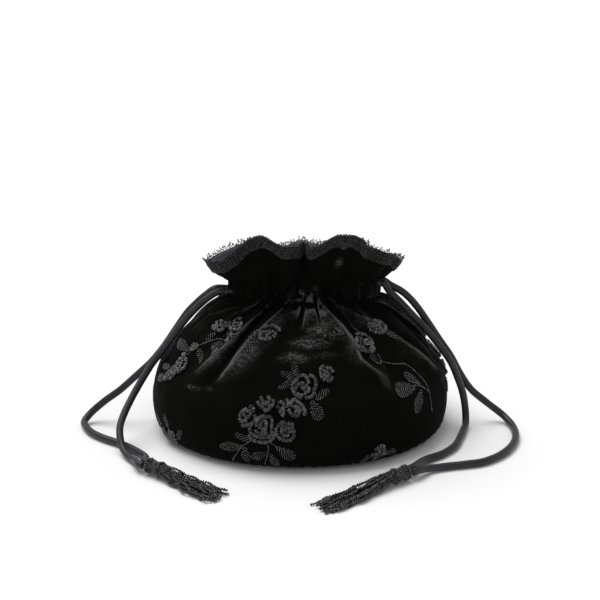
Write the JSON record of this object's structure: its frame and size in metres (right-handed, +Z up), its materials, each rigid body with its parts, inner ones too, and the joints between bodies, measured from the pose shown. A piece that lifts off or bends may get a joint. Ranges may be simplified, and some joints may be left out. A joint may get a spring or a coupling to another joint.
{
  "type": "drawstring handbag",
  "caption": "Round velvet drawstring pouch with a gathered neck, lace-edged frill, satin lining, rouleau cords ending in bead tassels and beaded roses.",
  "frame": {"origin": "middle of the base on the surface that the bag stands on", "axes": "+Z up through the mouth, +X along the bag's width, -Y towards the front"},
  "size_m": [0.3839, 0.3075, 0.1879],
  "materials": {
    "velvet": "crushed velvet",
    "satin": "satin",
    "lace": "open lace",
    "cord": "satin rouleau",
    "beads": "gunmetal glass beads"
  },
  "bodies": {
    "root": {"velvet_shell": "velvet", "base_disc": "velvet", "lining": "satin", "lace_trim": "lace", "draw_loop_left": "cord", "draw_loop_right": "cord", "cord_left_back": "cord", "cord_left_front": "cord", "cord_right_back": "cord", "cord_right_front": "cord", "tassel_left": "beads", "tassel_right": "beads", "rose_left_top": "beads", "rose_left_top_small": "beads", "rose_left_side": "beads", "rose_left_side_low": "beads", "rose_shoulder": "beads", "rose_centre": "beads", "rose_centre_right": "beads", "rose_middle": "beads", "rose_middle_left": "beads", "rose_low_left": "beads", "rose_low_centre": "beads", "rose_low_right": "beads", "rose_right_top": "beads", "rose_right_fold": "beads", "rose_back_top": "beads", "rose_back_middle": "beads", "rose_back_low": "beads"}
  },
  "joints": []
}
